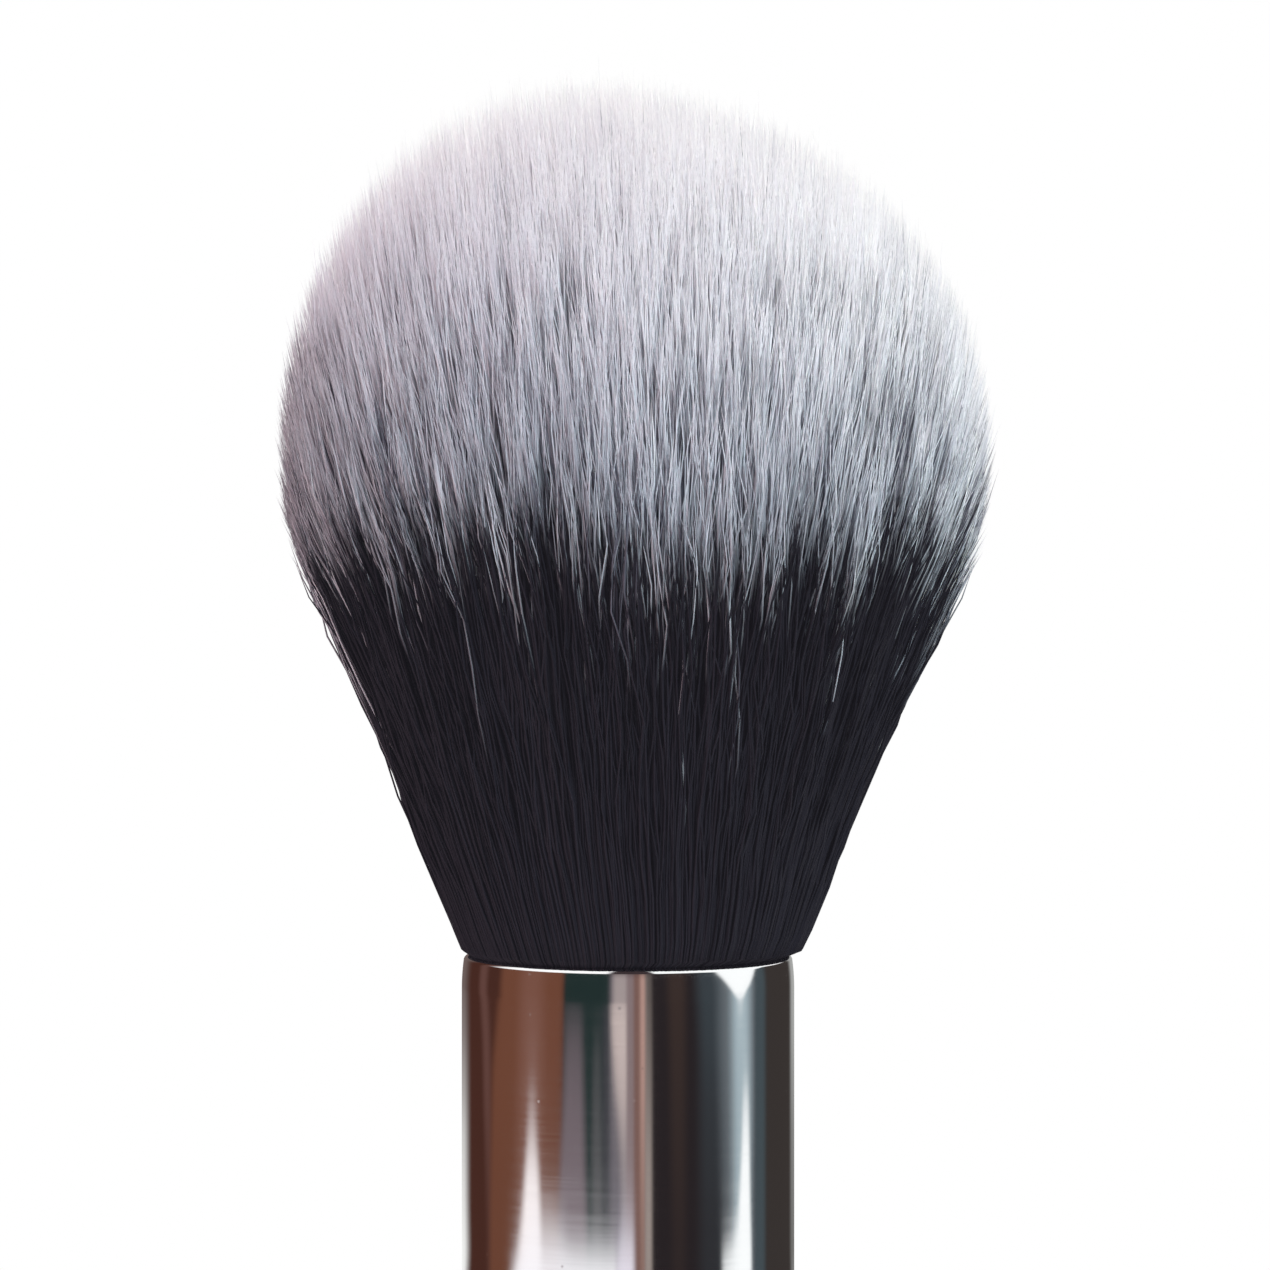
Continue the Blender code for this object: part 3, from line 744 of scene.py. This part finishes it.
def buildHandle():
    # Nose, tenon, shoulder, grip and butt from top to bottom
    h = handle
    nose = handleTop - h["noseLength"]
    half = math.pi / 2
    rises = crimpRises(h["crimpRows"])[::-1]
    heights = np.linspace(h["length"] - h["shoulderEdge"], h["buttEdge"], h["gripRows"])
    grip = np.stack([gripRadius(heights), heights], -1)
    outline = np.vstack([
        cornerArc(h["noseRadius"] - h["edge"], handleTop - h["edge"], h["edge"], half, 0, h["edgeRows"]),
        [[h["noseRadius"], nose]],
        cornerArc(h["tenonRadius"] - h["edge"], nose - h["edge"], h["edge"], half, 0, h["edgeRows"]),
        np.stack([h["tenonRadius"] - pressedIn(rises), rises + ferruleLow.z], -1),
        [[h["tenonRadius"], h["length"]]],
        cornerArc(ferruleRadius - h["shoulderEdge"], h["length"] - h["shoulderEdge"], h["shoulderEdge"],
                  half, 0, h["shoulderRows"])[:-1],
        grip,
        cornerArc(grip[-1, 0] - h["buttEdge"], h["buttEdge"], h["buttEdge"], 0, -half, h["buttRows"])[1:],
    ])
    piece = turnedPiece("handleBody", outline[:, 0], outline[:, 1], h["around"], False)
    piece.data.materials.append(lacquerFinish())
    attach(piece, "root")
    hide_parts("handle")
    print("handle made")


# Hidden pieces inside the ferrule keep their CAD shape and get a finish

glue = {
    "roughness": 0.25,
    "ior": 1.52,
    "cloudScale": 600,
    "colours": ((0.3, (0.50, 0.30, 0.10)), (0.7, (0.70, 0.48, 0.20))),
}

thread = {
    "roughness": 0.8,
    "plyScale": 900,           # of the twisted plies
    "plySwirl": 1.5,           # how uneven they are
    "colours": ((0.0, (0.36, 0.33, 0.28)), (1.0, (0.62, 0.60, 0.55))),
}


def glueFinish():
    # Amber resin with cloudy colour
    made, tree, shader = material("amberGlue", {"Roughness": glue["roughness"], "IOR": glue["ior"]})
    clouds = addNode(tree, "TexNoise", {"Vector": ownPlace(tree), "Scale": glue["cloudScale"]})
    feed(tree, shader, {"Base Color": rampNode(tree, clouds.outputs["Fac"], glue["colours"])})
    return made


def threadFinish():
    # Waxed cotton with slanting plies
    made, tree, shader = material("waxedThread", {"Roughness": thread["roughness"]})
    plies = addNode(tree, "TexWave", {"Vector": ownPlace(tree), "Scale": thread["plyScale"],
                                      "Distortion": thread["plySwirl"]},
                    wave_type="BANDS", bands_direction="DIAGONAL")
    feed(tree, shader, {"Base Color": rampNode(tree, plies.outputs["Fac"], thread["colours"])})
    return made


def dressHidden():
    resin, cotton = glueFinish(), threadFinish()
    for name, finish in (("root_epoxy", resin), ("tenon_glue", resin), ("binding_thread", cotton)):
        nodes[name].data.materials.clear()
        nodes[name].data.materials.append(finish)
    print("hidden pieces dressed")


# The room round the brush, seen only in reflections

room = {
    "radius": 0.30,
    "top": 400,                # its ceiling, in millimetres above the mouth
    "drop": 0.1 * mm,          # of its floor below the brush
    "inset": 0.03,             # share of the radius left open in the middle of floor and ceiling
    "around": 720,             # corners in each row
    "rings": 12,               # rows of the floor, and of the ceiling
    "lowRows": 16,             # rows of the wall's lowest part
    "fineRows": (-80, -20, 0.5),  # first height, last height and spacing, in millimetres
    "middleRows": (-20, 100, 1.5),
    "highRows": 12,
    "level": 1.28,             # makes up for what the plating takes away
}

# The room is white and painted with soft patches: colour, how soft the sides are, and rows of
# height, left edge, right edge and strength from low to high. Heights are millimetres above the
# ferrule's mouth, and edges are azimuths in degrees from the camera, positive to the right. The
# last rows hold up to the ceiling, and a later patch lies over an earlier one.
patches = {
    "umber": ((69, 41, 34), 4, ((-200, -190, 13, 1), (200, -190, 13, 1))),
    "umberLine": ((96, 66, 60), 8, (
        (-58, -113, -105, 0.3), (-42, -117, -108, 0.9), (-35, -118, -109, 1), (-28, -123, -113, 1))),
    "brown": ((108, 68, 52), 9, ((-55, -109, -46, 0.9), (-38, -106, -45, 1), (-28, -97, -44, 1))),
    "tan": ((121, 83, 71), 14, ((-46, -80, -60, 0.9), (-28, -78, -60, 0.8))),
    "pine": ((32, 46, 45), 4, ((-200, -44, -11, 1), (200, -44, -11, 1))),
    "mauve": ((116, 103, 109), 7, (
        (-55, -48, -28, 1), (-51, -47, -29, 0.95), (-42, -44, -30, 0.85), (-35, -43, -31, 0.6),
        (-30, -43, -32, 0))),
    "line": ((80, 80, 82), 5, (
        (-50, -24, -17, 1), (-42, -24, -18, 0.85), (-38, -23, -18, 0.7), (-33, -22, -18, 0))),
    "dusk": ((60, 60, 65), 4, ((-200, -17, -10, 1), (-32, -17, -10, 0.9), (-29, -17, -10, 0))),
    "lilac": ((96, 92, 99), 5, ((-200, -12, 3, 1), (200, -12, 3, 1))),
    "blush": ((202, 186, 181), 5, (
        (-56, -4, 3, 0.2), (-51, -4, 3, 0.2), (-47, -5, 2, 0.35), (-42, -7, 1, 0.75),
        (-38, -10, 1, 0.95), (-31, -12, 1, 1), (-28, -10, 2, 0.5))),
    "ash": ((130, 114, 115), 3, ((-200, -1, 5, 1), (200, -1, 5, 1))),
    "salmon": ((118, 89, 82), 3, ((-200, 4, 8, 1), (200, 4, 8, 1))),
    "peach": ((178, 144, 134), 3, (
        (-58, 8, 12, 0.5), (-48, 8, 12, 0.75), (-38, 8, 12, 1), (200, 8, 12, 1))),
    "black": ((39, 34, 36), 3, ((-200, 12, 190, 1), (200, 12, 190, 1))),
    "seam": ((152, 141, 135), 3, (
        (-51, 11.5, 16, 1), (-42, 11.5, 16, 0.65), (-35, 11.5, 16, 0.4), (-28, 11.5, 16, 0.3))),
    "blackLine": ((57, 46, 43), 8, ((-58, 30, 39, 0.4), (-42, 29, 39, 0.75), (-28, 27, 39, 1))),
    "slate": ((56, 63, 68), 12, (
        (-55, 50, 120, 0.35), (-42, 50, 120, 0.6), (-35, 50, 120, 0.9), (-28, 48, 120, 1))),
    "haze": ((98, 105, 110), 14, ((-55, 69, 98, 0.8), (-35, 65, 98, 1), (-28, 65, 98, 1))),
    "steel": ((160, 177, 184), 11, ((-55, 77, 91, 0.95), (-42, 76, 92, 0.95), (-31, 75, 91, 1))),
    "rightGrey": ((66, 76, 81), 4, ((-200, 97, 110, 1), (200, 97, 110, 1))),
    "rightDark": ((55, 50, 48), 8, ((-200, 108, 190, 1), (200, 108, 190, 1))),
    "sky": ((255, 255, 255), 20, ((64, -108, 142, 0), (72, -108, 142, 1))),
    "overhead": ((58, 48, 50), 6, ((40, -13, 19, 0), (64, -13, 19, 1))),
    "funnel": ((252, 255, 255), 4, (
        (-31, 82, 83, 0), (-28, 80, 85, 0.7), (-12, 76, 88, 1), (0, 73, 92, 1), (23, 67, 98, 1),
        (46, 60, 103, 1), (58, 51, 107, 1), (66, 36, 110, 1), (74, 18, 116, 1))),
    "rightStreak": ((252, 255, 255), 4, (
        (-200, 80, 96, 1), (-75, 74, 94, 1), (-61, 66, 93, 1), (-58.4, 76, 93, 1), (-55, 81, 92, 1),
        (-47, 84, 91, 1), (-42, 85, 90, 0.6), (-40, 87, 90, 0))),
    "leftStreak": ((252, 244, 244), 6, (
        (-200, -84, -62, 1), (-61, -82, -60, 1), (-55, -76, -62, 1), (-51, -74, -63, 0.95),
        (-47, -72, -65, 0.55), (-42, -71, -66, 0.13), (-40, -70, -67, 0))),
    "glowLeft": ((251, 249, 253), 12, (
        (-90, -84, -60, 0), (-70, -92, -46, 1), (-61.2, -84, -34, 1), (-59, -76, -42, 0.75),
        (-56, -68, -48, 0.35), (-53.5, -64, -52, 0))),
    "glowMiddle": ((252, 252, 255), 8, (
        (-90, -45, -6, 0), (-70, -46, -6, 1), (-61, -46, -6, 1), (-59.8, -42, -6, 0.4),
        (-58.4, -40, -6, 0.07), (-57, -30, -6, 0))),
    "glowRight": ((236, 231, 242), 5, (
        (-90, -8, 4, 0), (-70, -8, 4, 1), (-61, -8, 4, 1), (-58, -6, 4, 0.6), (-55, -4, 4, 0.2),
        (-52, -4, 4, 0))),
    "leftRim": ((225, 226, 224), 22, (
        (-200, -188, -166, 1), (-80, -188, -166, 1), (-61, -195, -145, 1), (-55, -195, -147, 0.86),
        (-47, -195, -147, 0.65), (-42, -195, -147, 0.42), (-35, -195, -147, 0.2),
        (-28, -195, -147, 0.1))),
    "rightRim": ((156, 157, 155), 12, (
        (-200, 166, 195, 1), (-80, 166, 195, 1), (-61, 152, 195, 0.35), (-46, 152, 195, 0.55),
        (-35, 152, 195, 0.9), (-28, 152, 195, 1))),
}


def inLight(red, green, blue):
    # Linear light of a colour as seen on screen
    share = np.array([red, green, blue]) / 255
    return np.where(share < 0.04045, share / 12.92, ((share + 0.055) / 1.055) ** 2.4)


def softBand(value, low, high, soft):
    # Rises over `soft` round low and falls over `soft` round high
    return eased((value - low) / soft + 0.5) * eased((high - value) / soft + 0.5)


def paintFinish():
    # Plain glow in the colours painted on the corners
    made = bpy.data.materials.new("roomPaint")
    made.use_nodes = True
    tree = made.node_tree
    tree.nodes.clear()
    paint = addNode(tree, "Attribute", attribute_name="paint")
    glow = addNode(tree, "Emission", {"Color": paint.outputs["Color"], "Strength": room["level"]})
    addNode(tree, "OutputMaterial", {0: glow.outputs[0]})
    return made


def buildRoom():
    # Rows of corners (reach sin a, -reach cos a, z), from the middle of the floor out to the wall,
    # up it and in again under the ceiling; each corner holds the colour of the patches over it
    r = room
    around = r["around"]
    turn = np.arange(around) * 360 / around - 180
    inward = np.linspace(r["inset"], 1 - r["inset"], r["rings"])
    wall = np.concatenate([np.linspace(-mouth / mm, r["fineRows"][0] - 1, r["lowRows"]),
                           np.arange(*r["fineRows"]), np.arange(*r["middleRows"]),
                           np.linspace(r["middleRows"][1], r["top"], r["highRows"])])
    height = np.concatenate([np.full(len(inward), wall[0]), wall, np.full(len(inward), wall[-1])])
    reach = r["radius"] * np.concatenate([inward, np.ones(len(wall)), inward[::-1]])[:, None]
    angle = np.radians(turn)[None, :]
    rise = np.broadcast_to(height[:, None] * mm, (len(height), around))
    points = np.stack([reach * np.sin(angle), -reach * np.cos(angle), mouth + rise - r["drop"]], -1)
    colour = np.ones((len(height), around, 3))
    for shade, side, rows in patches.values():
        heights, lefts, rights, strengths = np.array(rows, float).T
        left, right, strength = [np.interp(height, heights, values)[:, None]
                                 for values in (lefts, rights, strengths)]
        over = softBand(turn[None, :], left, right, side) * strength
        colour += over[..., None] * (inLight(*shade) - colour)
    quads = gridQuads(len(height), around, flip=True)
    piece = meshPiece("reflectedRoom", points.reshape(-1, 3), quads, smooth=False)
    layer = piece.data.color_attributes.new("paint", "FLOAT_COLOR", "POINT")
    opaque = np.ones((len(height), around, 1))
    layer.data.foreach_set("color", np.concatenate([colour, opaque], -1).ravel())
    piece.data.materials.append(paintFinish())
    piece.visible_camera = False
    piece.visible_diffuse = False
    piece.visible_shadow = False
    piece.visible_transmission = False
    print("painted room stands round the brush")


# World and floor

ambient = {
    "colour": (1, 0.89, 0.94, 1),
    "strength": 0.01,
}

floor = {
    "radius": 0.8,
    "hole": 0.5 * mm,          # radius left open in the middle, under the brush
    "rows": 40,
    "around": 96,
    "drop": 0.2 * mm,          # below the brush
    "colour": (0.50, 0.50, 0.50, 1),
    "roughness": 0.9,
    "specular": 0.1,
    "fade": (0.12, 0.45),      # distances between which it turns to plain white
    "white": 0.45,             # share of plain white near the brush
}


def seenDirectly(tree):
    # 1 for camera, glossy and transmission rays, which see the plain white background
    path = addNode(tree, "LightPath")
    most = mathNode(tree, "MAXIMUM", path.outputs["Is Camera Ray"], path.outputs["Is Glossy Ray"])
    return mathNode(tree, "MAXIMUM", most, path.outputs["Is Transmission Ray"])


def buildWorld():
    # Plain white where it is seen, and a faint even light on the pieces
    world = bpy.data.worlds.new("whiteStudio")
    bpy.context.scene.world = world
    world.use_nodes = True
    tree = world.node_tree
    tree.nodes.clear()
    soft = addNode(tree, "Background", {"Color": ambient["colour"], "Strength": ambient["strength"]})
    white = addNode(tree, "Background", {"Color": (1, 1, 1, 1)})
    mix = addNode(tree, "MixShader", {0: seenDirectly(tree), 1: soft.outputs[0], 2: white.outputs[0]})
    addNode(tree, "OutputWorld", {0: mix.outputs[0]})


def buildFloor():
    # A pale disc that keeps the shadow near the brush and turns to plain white further out
    f = floor
    radii = np.linspace(f["hole"], f["radius"], f["rows"])
    points = turnedPoints(radii, np.full(f["rows"], -f["drop"]), f["around"])
    piece = meshPiece("paleFloor", points, gridQuads(f["rows"], f["around"]))
    made, tree, shader = material("paleFloorPaper", {
        "Base Color": f["colour"], "Roughness": f["roughness"], "Specular IOR Level": f["specular"]})
    length = addNode(tree, "VectorMath", {0: ownPlace(tree)}, operation="LENGTH")
    near, far = f["fade"]
    fade = addNode(tree, "MapRange", {"Value": length.outputs["Value"], "From Min": near,
                                      "From Max": far, "To Min": f["white"]},
                   interpolation_type="SMOOTHSTEP")
    share = mathNode(tree, "MULTIPLY", fade.outputs[0], seenDirectly(tree))
    glow = addNode(tree, "Emission", {"Color": (1, 1, 1, 1)})
    mix = addNode(tree, "MixShader", {0: share, 1: shader.outputs[0], 2: glow.outputs[0]})
    feed(tree, tree.nodes["Material Output"], {0: mix.outputs[0]})
    piece.data.materials.append(made)


# Lamps and camera

light = {
    "size": 0.40,              # across each round lamp
    "aimRise": 15 * mm,        # of the place that they point at, above the mouth
    "lamps": {                 # place from the mouth in metres, power in watts, colour
        "topLamp": ((0.17, 0.0, 0.50), 1.68, (1, 0.74, 0.85)),
        "rightLamp": ((0.38, 0.10, 0.36), 1.74, (0.86, 1, 0.68)),
        "keyLamp": ((0.25, -0.46, 0.29), 2.80, (0.69, 0.90, 0.99)),
        "fillLamp": ((-0.40, -0.38, 0.10), 1.20, (1, 0.70, 0.76)),
        "leftLamp": ((-0.50, -0.02, -0.03), 0.32, (1, 0.93, 1)),
        "backLamp": ((-0.22, 0.50, 0.14), 0.90, (1, 1, 1)),
    },
}

view = {
    "away": 145 * mm,          # from the brush's axis
    "rise": 12.5 * mm,         # above the ferrule's mouth
    "lens": 105,
    "sensor": 36,
    "shiftX": 0.0055,
    "nearest": 0.01,           # what lies nearer than this isn't seen
}


def buildLights():
    # Round soft lamps that point at the head and aren't seen themselves
    head = Vector((0, 0, mouth + light["aimRise"]))
    for name, (place, power, colour) in light["lamps"].items():
        data = bpy.data.lights.new(name, "AREA")
        data.shape = "DISK"
        data.size = light["size"]
        data.energy = power
        data.color = colour
        lamp = bpy.data.objects.new(name, data)
        bpy.context.scene.collection.objects.link(lamp)
        lamp.location = (place[0], place[1], mouth + place[2])
        lamp.rotation_euler = (head - lamp.location).to_track_quat("-Z", "Y").to_euler()
        lamp.visible_camera = False
        lamp.visible_glossy = False


def buildCamera():
    # Level with the head, in front of it
    data = bpy.data.cameras.new("photoCamera")
    data.lens = view["lens"]
    data.sensor_width = view["sensor"]
    data.shift_x = view["shiftX"]
    data.clip_start = view["nearest"]
    camera = bpy.data.objects.new("photoCamera", data)
    bpy.context.scene.collection.objects.link(camera)
    camera.location = (0, -view["away"], mouth + view["rise"])
    camera.rotation_euler = (math.pi / 2, 0, 0)
    bpy.context.scene.camera = camera


buildHandle()
buildFerrule()
dressHidden()
buildBristles()
buildRoom()
buildFloor()
buildWorld()
buildLights()
buildCamera()
bpy.context.scene.view_settings.view_transform = "Standard"
print("studio ready")
